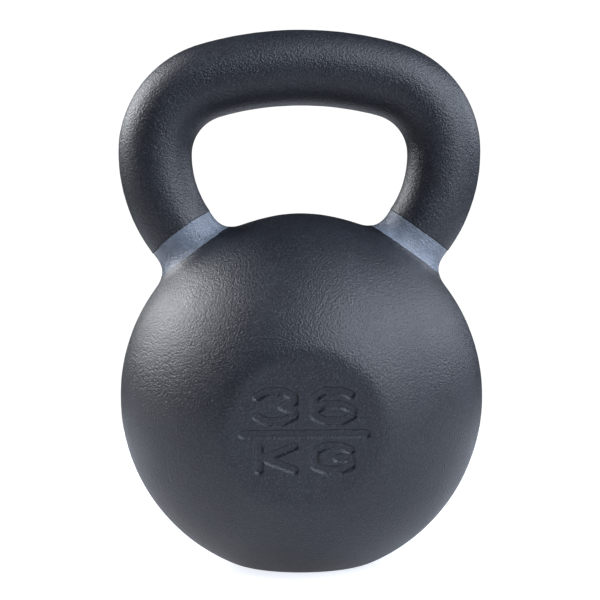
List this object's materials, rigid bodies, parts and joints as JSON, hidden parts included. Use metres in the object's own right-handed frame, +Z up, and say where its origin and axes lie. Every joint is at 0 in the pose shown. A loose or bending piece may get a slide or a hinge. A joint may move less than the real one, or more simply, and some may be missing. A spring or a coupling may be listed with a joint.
{
  "type": "kettlebell",
  "caption": "Cast-iron kettlebell with a ball body, flat foot, wide looped handle, textured coat, sunk weight mark and painted colour rings at the handle roots.",
  "frame": {"origin": "centre of the flat foot, on the surface that the kettlebell stands on", "axes": "+Z up through the ball's centre to the middle of the handle; the handle lies in the XZ plane; -Y is the front, with the weight mark"},
  "size_m": [0.2071, 0.196, 0.3059],
  "materials": {
    "iron": "bare sand-cast iron, ground flat at the foot",
    "coat": "matt black powder coat with a fine pebbled texture",
    "band_paint": "satin blue-grey enamel over the cast surface"
  },
  "bodies": {
    "root": {"casting": "iron", "ball_coat": "coat", "handle_coat": "coat", "colour_band_left": "band_paint", "colour_band_right": "band_paint"}
  },
  "joints": []
}
